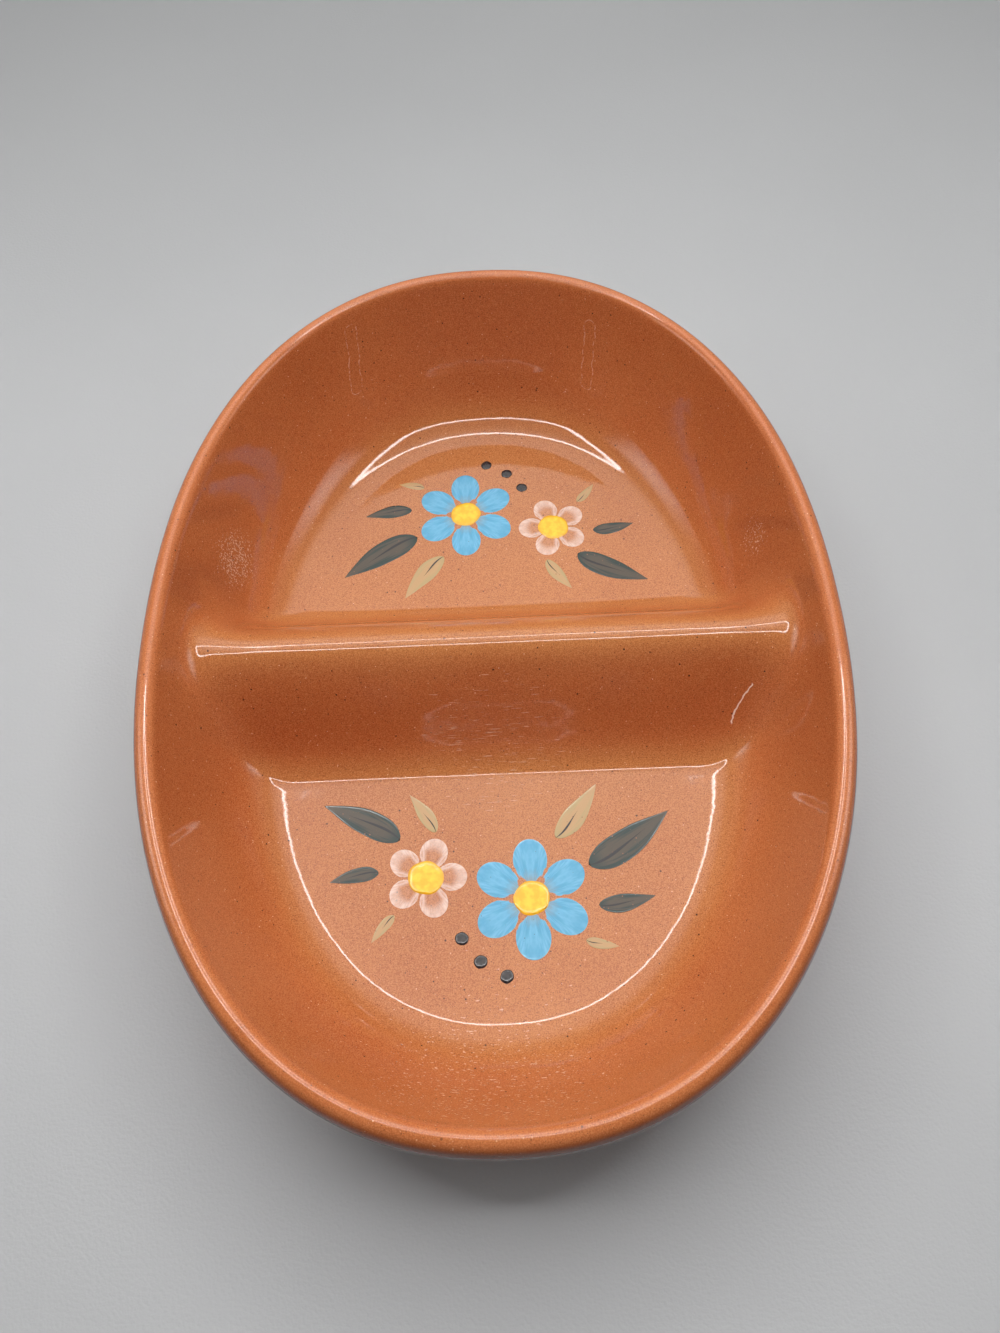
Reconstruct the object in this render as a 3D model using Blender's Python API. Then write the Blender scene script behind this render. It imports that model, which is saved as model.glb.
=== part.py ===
"""Oval divided serving bowl in glazed red earthenware, with painted flower sprays on its two floors.

Real size, in metres. +Z is up, +Y runs along the bowl's length, and the origin is on the table,
under its centre. The clay members (dish, divider, foot ring) are stuck together with slip before
firing. One coat of clear glaze covers them down to the glaze line, and enamel strokes lie on it.
"""

import math

import bmesh
import bpy
import numpy as np

# The finished, glazed bowl
LENGTH = 0.302
WIDTH = 0.216
HEIGHT = 0.067
OVAL_POWER = 2.2  # the outline's exponent: 2 is an ellipse, and more is squarer
LIP_WIDTH = 0.0076
LIP_RISE = 0.0046  # the rounded lip's height above the wall
FLOOR_LENGTH = 0.217  # the flat floor's oval, before the divider crosses it
FLOOR_WIDTH = 0.145
COVE_REACH = 0.62  # share of the wall's run over which the floor sweeps into the wall
WALL_LEAN = 0.17  # share of the wall's run left for the upper half of the wall

# The divider that parts the bowl into two compartments
CREST_DROP = 0.0190  # its crest lies this far below the rim
CREST_RADIUS = 0.0062
FLANK_ANGLE = math.radians(66)
FILLET = 0.018  # height over which its flanks melt into the floor
CORNER_FILLET = 0.022  # added to that height half-way up, where the flanks meet the walls
DIVIDER_EDGE = 0.0012  # thickness at which its feathered edge stops
TROUGH_LENGTH = 0.118  # the hollow that keeps its clay as thin as the walls
TROUGH_END_SLOPE = 1.6

# Clay, glaze, paint and the gaps between them
CLAY_WALL = 0.0055
GLAZE = 0.0005
PAINT = 0.0004
SEAT = 0.0003  # gap between pieces that touch
FOOT_HEIGHT = 0.005
FOOT_WIDTH = 0.0065
FOOT_INSET = 0.0025  # from the edge of the flat floor's oval
FOOT_CHAMFER = 0.0010
GLAZE_LINE = 0.0135  # the glaze stops this far above the table

# The painted sprays
SPRAY_MARGIN = 0.003  # bare floor around the spray
BLOSSOM_RADIUS = 0.0194
BLOSSOM_ASIDE = 0.0094  # from the middle of the compartment's floor, towards the outer leaves
BLOSSOM_OUT = 0.0040  # from the middle of the compartment's floor, towards the bowl's end
WHITE_RADIUS = 0.0134
WHITE_TURN = math.radians(-13)  # where the white blossom sits around the blue one
EYE_RADIUS = 0.0057
BERRY_RADIUS = 0.0021
LEAF_LENGTH = 0.0322
LEAF_WIDTH = 0.0104
LEAF_BEND = 0.16  # how far the tip swings aside, as a share of the leaf's length
STROKE_GAP = 0.0020  # bare floor between neighbouring strokes
BLOSSOM_PETALS = 6
WHITE_PETALS = 5
PETAL_WAIST = 0.42  # share of a blossom's radius at the notch between two petals
BERRIES = 3
BERRY_SPACING = math.radians(21)  # around the blue blossom

# Colours and finishes
RED_CLAY = (0.42, 0.13, 0.045)
GLAZED_CLAY = (0.50, 0.17, 0.06)
BLUE = (0.10, 0.42, 0.66)
WHITE = (0.80, 0.58, 0.47)
YELLOW = (0.93, 0.60, 0.02)
DARK_GREEN = (0.030, 0.050, 0.042)
TAN = (0.50, 0.36, 0.16)
BLACK = (0.020, 0.017, 0.018)
CLAY_ROUGHNESS = 0.75
GLOSS = 0.10

# How finely the round forms are divided
CAP_SPOKES = 20
FOOT_STEPS = 72
ARCH_STEPS = 12
PETAL_STEPS = 8
EYE_STEPS = 12
LEAF_STEPS = 7
BERRY_STEPS = 8
BAND_SHARES = (0.0, 0.08, 0.16, 0.25, 0.36, 0.48, 0.60, 0.72, 0.83, 0.915, 0.972, 1.0)
FLOOR_SHARES = (0.55,)
WALL_STEPS = (0.0, 0.09, 0.18, 0.32, 0.47, 0.62, 0.76, 0.88)
LIP_STEPS = tuple(math.radians(a) for a in (180, 150, 120, 90, 60, 30, 0))
OUTSIDE_STEPS = (0.85, 0.60, 0.38)
UNDER_STEPS = (0.20, 0.09, 0.0)
WELD = 1e-7  # points nearer to each other than this are one
SHARP_ANGLE = math.radians(40)

# What follows from the sizes above
COAT = GLAZE + SEAT
OUTSIDE = COAT + CLAY_WALL + COAT  # from the finished inside to the finished outside
FLOOR_LEVEL = FOOT_HEIGHT + SEAT + CLAY_WALL + COAT
LIP_LEVEL = HEIGHT - LIP_RISE
WALL_RISE = LIP_LEVEL - FLOOR_LEVEL
MOUTH_LENGTH = LENGTH - 2 * LIP_WIDTH
MOUTH_WIDTH = WIDTH - 2 * LIP_WIDTH
CREST_LEVEL = HEIGHT - CREST_DROP
FLANK_SLOPE = math.tan(FLANK_ANGLE)


# Shapes as formulas

def oval_half_width(y, width, length):
    """Half the oval's width at a distance y from its middle."""
    share = np.clip(np.abs(y) / (length / 2), 0, 1)
    return width / 2 * (1 - share**OVAL_POWER) ** (1 / OVAL_POWER)


def oval_reach(core_y, angle, width, length):
    """Distance from the point (0, core_y) to the oval, along each angle, found by halving."""
    low = np.zeros(len(angle))
    high = np.full(len(angle), width + length)
    for _ in range(60):
        middle = (low + high) / 2
        x = np.abs(middle * np.cos(angle)) / (width / 2)
        y = np.abs(core_y + middle * np.sin(angle)) / (length / 2)
        inside = x**OVAL_POWER + y**OVAL_POWER < 1
        low = np.where(inside, middle, low)
        high = np.where(inside, high, middle)
    return low


def wall_curve(step):
    """Shares of the wall's run and rise at a step from 0, the floor, to 1, the lip, and their rates.

    A cubic curve: it leaves the floor level, sweeps up the cove and ends in the steep upper wall.
    """
    run_handles = (0.0, COVE_REACH, 1 - WALL_LEAN, 1.0)
    rise_handles = (0.0, 0.0, 0.5, 1.0)
    step = np.asarray(step, float)
    left = 1 - step
    weights = (left**3, 3 * step * left**2, 3 * step**2 * left, step**3)
    rates = (-3 * left**2, 3 * left * (1 - 3 * step), 3 * step * (2 - 3 * step), 3 * step**2)
    run, rise, run_rate, rise_rate = (
        sum(f * handle for f, handle in zip(factors, handles))
        for factors, handles in (
            (weights, run_handles),
            (weights, rise_handles),
            (rates, run_handles),
            (rates, rise_handles),
        )
    )
    return run, rise, run_rate, rise_rate


def wall_step(share, which):
    """The step at which the wall curve's run (0) or rise (1) reaches a share, found by halving."""
    low = np.zeros_like(np.asarray(share, float))
    high = np.ones_like(low)
    for _ in range(50):
        middle = (low + high) / 2
        below = wall_curve(middle)[which] < share
        low = np.where(below, middle, low)
        high = np.where(below, high, middle)
    return (low + high) / 2


def ridge_height(y):
    """The divider's cross-section: a hyperbola, with a round crest and straightening flanks."""
    bend = CREST_RADIUS * FLANK_SLOPE**2
    return CREST_LEVEL + bend - np.sqrt((FLANK_SLOPE * y) ** 2 + bend**2)


def ridge_half_width(level):
    """Half the divider's width at a level, the inverse of ridge_height."""
    bend = CREST_RADIUS * FLANK_SLOPE**2
    return math.sqrt((CREST_LEVEL + bend - level) ** 2 - bend**2) / FLANK_SLOPE


def melt(a, b):
    """The higher of two surfaces, with the corner between them rounded over the fillet's height."""
    top = (LIP_LEVEL + CREST_LEVEL) / 2
    share = np.clip(((a + b) / 2 - FLOOR_LEVEL) / (top - FLOOR_LEVEL), 0, 1)
    fillet = FILLET + CORNER_FILLET * np.sin(math.pi * share) ** 2
    near = np.clip(fillet - np.abs(a - b), 0, None)
    return np.maximum(a, b) + near**2 / (4 * fillet)


EDGE_FALL = FILLET - 2 * math.sqrt(FILLET * DIVIDER_EDGE)  # from the floor down to the bare ridge there
EDGE_Y = ridge_half_width(FLOOR_LEVEL - EDGE_FALL)
BAND_Y = ridge_half_width(FLOOR_LEVEL - FILLET)


def band_stations():
    """The y of each lengthwise station across the divider, from its front edge to its rear edge."""
    half = [share * EDGE_Y for share in BAND_SHARES] + [BAND_Y]
    return np.array([-y for y in reversed(half[1:])] + half)


def basin_height(x, y):
    """The finished inside of the plain oval basin, as if no divider crossed it."""
    floor = oval_half_width(y, FLOOR_WIDTH, FLOOR_LENGTH)
    lip = oval_half_width(y, MOUTH_WIDTH, MOUTH_LENGTH)
    share = np.clip((np.abs(x) - floor) / (lip - floor), 0, 1)
    return FLOOR_LEVEL + WALL_RISE * wall_curve(wall_step(share, 0))[1]


def inside_height(x, y):
    """The finished inside of the bowl, divider and all."""
    return melt(basin_height(x, y), ridge_height(y))


def divider_reach(y, floor, run):
    """How far out the divider runs at each y: up the wall, to where it is as thin as its edge."""
    low = np.zeros(len(y))
    high = np.ones(len(y))
    for _ in range(50):
        middle = (low + high) / 2
        along, up, along_rate, up_rate = wall_curve(middle)
        basin = FLOOR_LEVEL + WALL_RISE * up
        lean = run * along_rate / np.hypot(run * along_rate, WALL_RISE * up_rate)
        thick = (melt(basin, ridge_height(y)) - basin) * lean > DIVIDER_EDGE
        low = np.where(thick, middle, low)
        high = np.where(thick, high, middle)
    return floor + run * wall_curve(low)[0]


def sunk(surface, x, y, depth):
    """Points of a surface z = f(x, y), moved into the clay by a depth along its normals."""
    reach = 1e-5
    slope_x = (surface(x + reach, y) - surface(x - reach, y)) / (2 * reach)
    slope_y = (surface(x, y + reach) - surface(x, y - reach)) / (2 * reach)
    fall = depth / np.sqrt(1 + slope_x**2 + slope_y**2)
    return np.stack([x + fall * slope_x, y + fall * slope_y, surface(x, y) - fall], axis=-1)


# Meshes from rings of points

class OvalSpokes:
    """Spokes from the bowl's middle line to its oval: level across the divider, fanned at both ends."""

    def __init__(self):
        stations = band_stations()
        fan = np.linspace(0, math.pi, CAP_SPOKES + 1)[1:-1]
        ends = np.full(len(fan), BAND_Y)
        self.core_y = np.concatenate([stations, ends, stations[::-1], -ends])
        self.angle = np.concatenate(
            [np.zeros(len(stations)), fan, np.full(len(stations), math.pi), fan + math.pi]
        )
        self.core_points, self.core_of = np.unique(np.round(self.core_y, 9), return_inverse=True)
        self.floor_reach = oval_reach(self.core_y, self.angle, FLOOR_WIDTH, FLOOR_LENGTH)
        self.lip_reach = oval_reach(self.core_y, self.angle, MOUTH_WIDTH, MOUTH_LENGTH)

    def ring(self, reach, level):
        """One point on each spoke, at a distance along it and a height."""
        x = reach * np.cos(self.angle)
        y = self.core_y + reach * np.sin(self.angle)
        return np.stack([x, y, np.broadcast_to(level, x.shape)], axis=1)

    def floor_rings(self, depth):
        return [self.ring(share * self.floor_reach, FLOOR_LEVEL - depth) for share in FLOOR_SHARES]

    def wall_rings(self, steps, depth):
        """Rings up the wall, moved from its finished inside into the clay by a depth."""
        rings = []
        run = self.lip_reach - self.floor_reach
        for step in steps:
            along, up, along_rate, up_rate = wall_curve(step)
            length = np.hypot(run * along_rate, WALL_RISE * up_rate)
            reach = self.floor_reach + run * along + depth * WALL_RISE * up_rate / length
            level = FLOOR_LEVEL + WALL_RISE * up - depth * run * along_rate / length
            rings.append(self.ring(reach, level))
        return rings

    def lip_rings(self, depth):
        """The rounded lip, half an ellipse from the inside over to the outside."""
        middle = self.lip_reach + LIP_WIDTH / 2
        return [
            self.ring(
                middle + (LIP_WIDTH / 2 - depth) * math.cos(turn),
                LIP_LEVEL + (LIP_RISE - depth) * math.sin(turn),
            )
            for turn in LIP_STEPS
        ]

    def inside_rings(self, depth):
        """Rings over the floor, divider and wall, moved from the finished inside into the clay."""
        rings = self.floor_rings(depth) + self.wall_rings(WALL_STEPS, depth)
        level = abs(np.sin(self.angle)) < WELD
        for ring, flush in zip(rings, self.floor_rings(0.0) + self.wall_rings(WALL_STEPS, 0.0)):
            ring[level] = sunk(inside_height, flush[level, 0], flush[level, 1], depth)
        return rings

    def ridge_line(self, depth):
        """The middle line where it runs over the divider."""
        return sunk(inside_height, np.zeros(len(self.core_points)), self.core_points, depth)

    def skin(self, first_core, rings, last_core, high):
        """A closed mesh over rings of points, from one middle line to another."""
        mesh = bmesh.new()
        first, last = add_points(mesh, first_core), add_points(mesh, last_core)
        loops = [add_points(mesh, ring) for ring in rings]
        loops = [[first[i] for i in self.core_of]] + loops + [[last[i] for i in self.core_of]]
        for lower, upper in zip(loops, loops[1:]):
            bridge(mesh, lower, upper, high)
        return mesh

    def core_line(self, level):
        """The points on the bowl's middle line that the spokes start from."""
        y = self.core_points
        return np.stack([np.zeros(len(y)), y, np.full(len(y), level)], axis=1)


def add_points(mesh, points):
    return [mesh.verts.new(p) for p in points]


def add_face(mesh, corners, high):
    """A face, or a quad as two triangles, split along its higher or its lower diagonal."""
    corners = list(dict.fromkeys(corners))
    if len(corners) == 4:
        a, b, c, d = corners
        if (a.co.z + c.co.z > b.co.z + d.co.z) != high:
            a, b, c, d = b, c, d, a
        mesh.faces.new((a, b, c))
        mesh.faces.new((a, c, d))
    elif len(corners) == 3:
        mesh.faces.new(corners)


def bridge(mesh, lower, upper, high=False):
    """Faces between two closed rings of vertices, triangles where two corners are one vertex."""
    for i in range(len(lower)):
        j = (i + 1) % len(lower)
        add_face(mesh, (lower[i], lower[j], upper[j], upper[i]), high)


def new_object(name, mesh, colour=None, roughness=0.5):
    """A mesh as a named object with its own material, shaded smooth but for its real edges."""
    bmesh.ops.recalc_face_normals(mesh, faces=mesh.faces)
    data = bpy.data.meshes.new(name)
    mesh.to_mesh(data)
    mesh.free()
    data.shade_smooth()
    data.set_sharp_from_angle(angle=SHARP_ANGLE)
    if colour:
        material = bpy.data.materials.new(name)
        material.use_nodes = True
        shader = material.node_tree.nodes["Principled BSDF"]
        shader.inputs["Base Color"].default_value = (*colour, 1.0)
        shader.inputs["Roughness"].default_value = roughness
        shader.inputs["Metallic"].default_value = 0.0
        data.materials.append(material)
    made = bpy.data.objects.new(name, data)
    bpy.context.scene.collection.objects.link(made)
    return made


# Clay members

def make_dish(spokes):
    """The oval dish: floor, wall and rounded lip, an even wall of clay all over."""
    depth = COAT + CLAY_WALL
    over = spokes.floor_rings(COAT) + spokes.wall_rings(WALL_STEPS, COAT) + spokes.lip_rings(COAT)
    under = spokes.wall_rings(OUTSIDE_STEPS + UNDER_STEPS, depth) + spokes.floor_rings(depth)
    inside, outside = spokes.core_line(FLOOR_LEVEL - COAT), spokes.core_line(FLOOR_LEVEL - depth)
    mesh = spokes.skin(inside, over + under, outside, high=False)
    return new_object("dish_shell", mesh, RED_CLAY, CLAY_ROUGHNESS)


def make_divider():
    """The divider: a clay bridge seated on the dish's own facets, with a feathered edge all round."""
    stations = band_stations()[1:-1]
    floor = oval_half_width(stations, FLOOR_WIDTH, FLOOR_LENGTH)[:, None]
    run = oval_half_width(stations, MOUTH_WIDTH, MOUTH_LENGTH)[:, None] - floor
    along, up, along_rate, up_rate = wall_curve(np.array(WALL_STEPS + (1.0,)))
    flat = floor * np.array((0.0,) + FLOOR_SHARES)
    slant = np.hypot(run * along_rate, WALL_RISE * up_rate)
    outward = GLAZE * WALL_RISE * up_rate / slant
    downward = GLAZE * run * along_rate / slant
    reach = np.hstack([flat, floor + run * along])
    seat_x = np.hstack([flat, floor + run * along + outward])
    seat_z = FLOOR_LEVEL + np.hstack([np.full_like(flat, -GLAZE), WALL_RISE * up - downward])
    edge = divider_reach(stations, floor[:, 0], run[:, 0])
    mesh = bmesh.new()
    top = []
    seat = []
    for i, y in enumerate(stations):
        half = np.minimum(reach[i], edge[i])
        x = np.concatenate([-half[:0:-1], half])
        across = np.full(len(x), y)
        under_x = np.sign(x) * np.interp(abs(x), reach[i], seat_x[i])
        under_z = np.interp(abs(x), reach[i], seat_z[i])
        top.append(add_points(mesh, sunk(inside_height, x, across, COAT)))
        seat.append(add_points(mesh, np.stack([under_x, across, under_z], axis=1)))
    for rows, high in ((top, False), (seat, True)):
        for near, far in zip(rows, rows[1:]):
            for i in range(len(near) - 1):
                add_face(mesh, (near[i], near[i + 1], far[i + 1], far[i]), high)
    rims = []
    for rows in (top, seat):
        right = [row[-1] for row in rows[1:-1]]
        left = [row[0] for row in rows[-2:0:-1]]
        rims.append(rows[0] + right + rows[-1][::-1] + left)
    bridge(mesh, *rims)
    bmesh.ops.remove_doubles(mesh, verts=mesh.verts, dist=WELD)
    return new_object("divider", mesh, RED_CLAY, CLAY_ROUGHNESS)


def make_trough():
    """The cutter for the hollow under the divider: an arch one clay wall inside it, with sloped ends."""
    slant = math.sqrt(1 + FLANK_SLOPE**2)
    inset = COAT + CLAY_WALL
    crown = CREST_LEVEL - inset
    bend = CREST_RADIUS * FLANK_SLOPE**2 - inset * (slant - 1)
    foot = -FOOT_HEIGHT
    half = math.sqrt((crown + bend - FLOOR_LEVEL) ** 2 - bend**2) / FLANK_SLOPE
    across = half * np.linspace(-1, 1, ARCH_STEPS + 1)
    arch = crown + bend - np.sqrt((FLANK_SLOPE * across) ** 2 + bend**2)
    end = TROUGH_LENGTH / 2
    mesh = bmesh.new()
    sections = []
    for side in (-1, 1):
        x = side * (end - (arch - FLOOR_LEVEL) / TROUGH_END_SLOPE)
        skirt = [(side * end, across[-1], foot), (side * end, across[0], foot)]
        sections.append(add_points(mesh, list(zip(x, across, arch)) + skirt))
    bridge(mesh, *sections)
    for section in sections:
        mesh.faces.new(section)
    bmesh.ops.triangulate(mesh, faces=[f for f in mesh.faces if len(f.verts) > 4])
    cutter = new_object("trough_cutter", mesh)
    cutter.hide_render = True
    cutter.display_type = "WIRE"
    return cutter


def cut(piece, cutter):
    modifier = piece.modifiers.new("trough", "BOOLEAN")
    modifier.operation = "DIFFERENCE"
    modifier.object = cutter


def make_foot_ring():
    """The oval foot that the bowl stands on, with chamfered edges."""
    angle = np.linspace(0, 2 * math.pi, FOOT_STEPS, endpoint=False)
    core = np.zeros(FOOT_STEPS)
    section = (
        (0, FOOT_HEIGHT),
        (0, FOOT_CHAMFER),
        (FOOT_CHAMFER, 0),
        (FOOT_WIDTH - FOOT_CHAMFER, 0),
        (FOOT_WIDTH, FOOT_CHAMFER),
        (FOOT_WIDTH, FOOT_HEIGHT),
    )
    mesh = bmesh.new()
    rings = []
    for inset, level in section:
        taken = 2 * (FOOT_INSET + inset)
        reach = oval_reach(core, angle, FLOOR_WIDTH - taken, FLOOR_LENGTH - taken)
        flat = reach[:, None] * ring_of(angle)
        rings.append(add_points(mesh, np.column_stack([flat, np.full(FOOT_STEPS, level)])))
    for lower, upper in zip(rings, rings[1:] + rings[:1]):
        bridge(mesh, lower, upper)
    return new_object("foot_ring", mesh, RED_CLAY, CLAY_ROUGHNESS)


# Glaze

def make_glaze(spokes):
    """The clear glaze: over the inside, the divider and the lip, and outside down to the glaze line."""
    line = float(wall_step((GLAZE_LINE + OUTSIDE / 2 - FLOOR_LEVEL) / WALL_RISE, 1))
    faces = []
    for depth in (0.0, GLAZE):
        outside = spokes.wall_rings(OUTSIDE_STEPS + (line,), OUTSIDE - depth)
        faces.append(spokes.inside_rings(depth) + spokes.lip_rings(depth) + outside)
    over, under = faces
    mesh = spokes.skin(spokes.ridge_line(0.0), over + under[::-1], spokes.ridge_line(GLAZE), high=True)
    return new_object("glaze_coat", mesh, GLAZED_CLAY, GLOSS)


# Painted sprays

class Spray:
    """A spray of enamel strokes on one compartment's floor, laid out from the middle of that floor."""

    def __init__(self, name, outward, turn):
        self.name = name
        self.outward = outward  # 1 for the rear compartment, -1 for the front one
        self.turn = turn  # 1 for leaves that start at the right, -1 for the left
        self.middle = (BAND_Y + FLOOR_LENGTH / 2) / 2

    def place(self, points, level):
        """Points measured from the middle of the floor, as points of the bowl at a level."""
        x = self.turn * points[:, 0]
        y = self.outward * (self.middle + points[:, 1])
        return np.stack([x, y, np.full(len(x), level)], axis=1)

    def stroke(self, name, outline, colour, layer=0):
        """One stroke: a thin slab of enamel within an outline, on the glaze or on the stroke below."""
        bottom = FLOOR_LEVEL + SEAT + layer * (PAINT + SEAT)
        mesh = bmesh.new()
        hub = outline.mean(axis=0, keepdims=True)
        loops = []
        for level in (bottom, bottom + PAINT):
            centre = add_points(mesh, self.place(hub, level))[0]
            loop = add_points(mesh, self.place(outline, level))
            for i in range(len(loop)):
                mesh.faces.new((centre, loop[i - 1], loop[i]))
            loops.append(loop)
        bridge(mesh, *loops)
        return new_object(f"{self.name}_{name}", mesh, colour, GLOSS)

    def blossom(self, name, at, radius, petals, colour):
        """A rosette of round petals, with a dab in its middle as the eye."""
        angle = np.linspace(0, 2 * math.pi, PETAL_STEPS * petals, endpoint=False)
        swell = abs(np.sin(petals * angle / 2)) ** 0.6
        reach = radius * (PETAL_WAIST + (1 - PETAL_WAIST) * swell)
        self.stroke(name, at + reach[:, None] * ring_of(angle), colour)
        self.dab(f"{name}_eye", at, EYE_RADIUS, YELLOW, EYE_STEPS, layer=1)

    def dab(self, name, at, radius, colour, steps, layer=0):
        angle = np.linspace(0, 2 * math.pi, steps, endpoint=False)
        self.stroke(name, at + radius * ring_of(angle), colour, layer)

    def room(self, at, heading):
        """How far the bare floor runs from a point along a heading."""
        reach = np.linspace(0, FLOOR_LENGTH, 801)
        x, y, _ = self.place(at + reach[:, None] * ring_of(heading), 0).T
        half = oval_half_width(y, FLOOR_WIDTH - 2 * SPRAY_MARGIN, FLOOR_LENGTH - 2 * SPRAY_MARGIN)
        return reach[(abs(x) < half) & (self.outward * y > BAND_Y + SPRAY_MARGIN)].max()

    def leaf(self, name, base, heading, colour):
        """A pointed leaf that starts at a point, bends as it runs out and ends within the floor."""
        tip = heading + math.atan(LEAF_BEND)
        size = min(1.0, self.room(base, heading) / LEAF_LENGTH, self.room(base, tip) / LEAF_LENGTH)
        t = np.linspace(0, 1, LEAF_STEPS + 1)
        half = LEAF_WIDTH / 2 * np.sin(math.pi * t**0.7) ** 0.9
        half[0] = half[-1] = 0
        sag = LEAF_BEND * LEAF_LENGTH * t**2
        edges = np.concatenate([
            np.stack([LEAF_LENGTH * t, sag + half], axis=1),
            np.stack([LEAF_LENGTH * t, sag - half], axis=1)[-2:0:-1],
        ])
        ahead = ring_of(heading)
        aside = np.array([-ahead[1], ahead[0]])
        self.stroke(name, base + size * (edges[:, :1] * ahead + edges[:, 1:] * aside), colour)


def ring_of(angle):
    """Unit vectors at an angle, or at each of several."""
    return np.stack([np.cos(angle), np.sin(angle)], axis=-1)


def make_spray(name, outward, turn):
    """A blue blossom and a white one, a fan of leaves beyond each, and berries between the two."""
    spray = Spray(name, outward, turn)
    blue_at = np.array([-BLOSSOM_ASIDE, BLOSSOM_OUT])
    white_at = blue_at + (BLOSSOM_RADIUS + WHITE_RADIUS + STROKE_GAP) * ring_of(WHITE_TURN)
    spray.blossom("blossom", blue_at, BLOSSOM_RADIUS, BLOSSOM_PETALS, BLUE)
    spray.blossom("white_blossom", white_at, WHITE_RADIUS, WHITE_PETALS, WHITE)
    leaf_colours = (TAN, DARK_GREEN, DARK_GREEN, TAN)
    outer_turns = ((140, 158), (172, 178), (208, 203), (246, 222))  # where a leaf starts, where it heads
    inner_turns = ((-102, -66), (-56, -36), (-8, 0), (50, 40))
    fans = (
        ("outer", blue_at, BLOSSOM_RADIUS, outer_turns),
        ("inner", white_at, WHITE_RADIUS, inner_turns),
    )
    for side, at, radius, turns in fans:
        for i, ((start, heading), colour) in enumerate(zip(turns, leaf_colours)):
            base = at + (radius + STROKE_GAP) * ring_of(math.radians(start))
            spray.leaf(f"{side}_leaf_{i + 1}", base, math.radians(heading), colour)
    berry_reach = BLOSSOM_RADIUS + 2 * STROKE_GAP + BERRY_RADIUS
    for i in range(BERRIES):
        at = blue_at + berry_reach * ring_of(math.radians(70) - i * BERRY_SPACING)
        spray.dab(f"berry_{i + 1}", at, BERRY_RADIUS, BLACK, BERRY_STEPS)


def main():
    for old in list(bpy.data.objects):
        bpy.data.objects.remove(old)
    spokes = OvalSpokes()
    dish = make_dish(spokes)
    divider = make_divider()
    trough = make_trough()
    cut(dish, trough)
    cut(divider, trough)
    make_foot_ring()
    make_glaze(spokes)
    make_spray("front", -1, -1)
    make_spray("rear", 1, 1)


main()
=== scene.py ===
import math

import bmesh
import bpy
import numpy as np
from mathutils import Matrix


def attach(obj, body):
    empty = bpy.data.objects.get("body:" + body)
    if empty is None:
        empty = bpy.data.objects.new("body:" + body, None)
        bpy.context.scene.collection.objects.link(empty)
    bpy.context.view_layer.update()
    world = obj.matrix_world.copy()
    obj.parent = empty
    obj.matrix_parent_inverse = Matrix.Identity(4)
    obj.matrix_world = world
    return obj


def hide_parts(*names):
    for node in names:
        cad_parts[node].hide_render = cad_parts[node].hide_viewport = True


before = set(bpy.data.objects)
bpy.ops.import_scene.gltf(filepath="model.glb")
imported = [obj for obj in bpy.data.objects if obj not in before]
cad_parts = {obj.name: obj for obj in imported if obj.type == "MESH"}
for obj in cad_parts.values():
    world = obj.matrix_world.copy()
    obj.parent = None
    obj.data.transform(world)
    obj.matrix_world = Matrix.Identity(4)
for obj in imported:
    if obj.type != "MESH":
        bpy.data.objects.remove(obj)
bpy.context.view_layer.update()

# Clay body
# The oval dish and the hollow divider that is luted across it, press-moulded in red earthenware
# and fired as one. It shows only underneath, below the glaze line and in the divider's hollow.
LENGTH, WIDTH, HEIGHT = 0.302, 0.216, 0.067
OVAL_POWER = 2.2
LIP_WIDTH, LIP_RISE, LIP_TOP, LIP_DROP = 0.0076, 0.0046, 0.0029, 0.0064
LIP_LEVEL = HEIGHT - LIP_RISE
FLOOR_LENGTH, FLOOR_WIDTH, FLOOR_LEVEL = 0.217, 0.145, 0.0116
WALL_RISE = LIP_LEVEL - FLOOR_LEVEL
COVE_REACH, WALL_LEAN = 0.62, 0.17
CREST_LEVEL, CREST_RADIUS = 0.048, 0.0062
FLANK_SLOPE = math.tan(math.radians(66))
FILLET, CORNER_FILLET = 0.018, 0.022
CREST_BEND = CREST_RADIUS * FLANK_SLOPE**2
CREST_DROP = CREST_LEVEL + CREST_BEND - FLOOR_LEVEL + FILLET
BAND_Y = math.sqrt(CREST_DROP**2 - CREST_BEND**2) / FLANK_SLOPE
GLAZE, COAT, CLAY_WALL = 0.0005, 0.0008, 0.0055
OUTSIDE = 2 * COAT + CLAY_WALL
UNDERSIDE = FLOOR_LEVEL - COAT - CLAY_WALL
HOLLOW_LENGTH, HOLLOW_END_SLOPE = 0.118, 1.9
HOLLOW_CORNER, HOLLOW_EDGE = 0.008, 0.004
EASE_START, SAME_POINT = 0.7, 1e-7
BAND_STEPS, FAN_STEPS = 64, 144
FLOOR_STEPS, WALL_STEPS, LIP_STEPS, OUTSIDE_STEPS = 16, 46, 24, 30


def oval_reach(core_y, angle, width, length):
    """Distance from (0, core_y) along an angle to where x^n + y^n, in half axes, is 1. It is found
    by halving."""
    low, high = np.zeros(np.shape(angle)), np.full(np.shape(angle), width + length)
    for _ in range(50):
        middle = (low + high) / 2
        x = np.abs(middle * np.cos(angle)) / (width / 2)
        y = np.abs(core_y + middle * np.sin(angle)) / (length / 2)
        inside = x**OVAL_POWER + y**OVAL_POWER < 1
        low, high = np.where(inside, middle, low), np.where(inside, high, middle)
    return low


def wall_curve(step):
    """A cubic curve from the floor (0) to the lip (1): its shares of run and rise, and the rates of
    both."""
    left = 1 - step
    weights = (left**3, 3 * step * left**2, 3 * step**2 * left, step**3)
    rates = (-3 * left**2, 3 * left * (1 - 3 * step), 3 * step * (2 - 3 * step), 3 * step**2)
    runs, rises = (0, COVE_REACH, 1 - WALL_LEAN, 1), (0, 0, 0.5, 1)
    return [sum(f * h for f, h in zip(a, b)) for a in (weights, rates) for b in (runs, rises)]


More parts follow.
